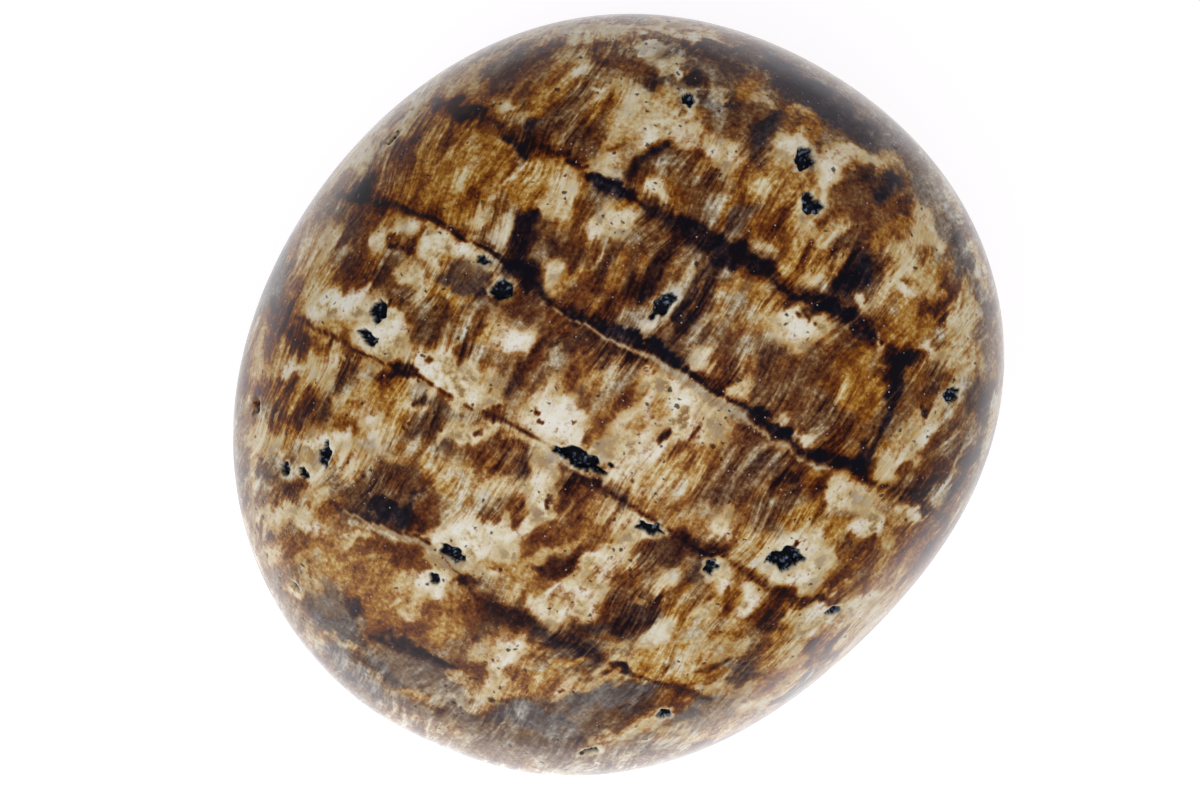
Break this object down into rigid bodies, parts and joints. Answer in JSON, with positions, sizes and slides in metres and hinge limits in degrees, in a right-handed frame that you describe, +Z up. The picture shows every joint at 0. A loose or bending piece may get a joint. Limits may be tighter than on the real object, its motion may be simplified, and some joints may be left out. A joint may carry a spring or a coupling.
{
  "type": "river pebble",
  "caption": "Smooth tumbled pebble of banded fibrous brown and cream stone with open pits, lying on its flatter side.",
  "frame": {"origin": "under the middle of the stone's box, on the surface that the stone rests on", "axes": "+Z up, out of the crown; +X along the longer side of the stone's box, to the right in the picture; +Y along the other side, upwards in the picture"},
  "size_m": [0.0426, 0.0422, 0.0238],
  "materials": {
    "stone": "polished, with dull crystal-lined pits"
  },
  "bodies": {
    "root": {"pebble": "stone"}
  },
  "joints": []
}
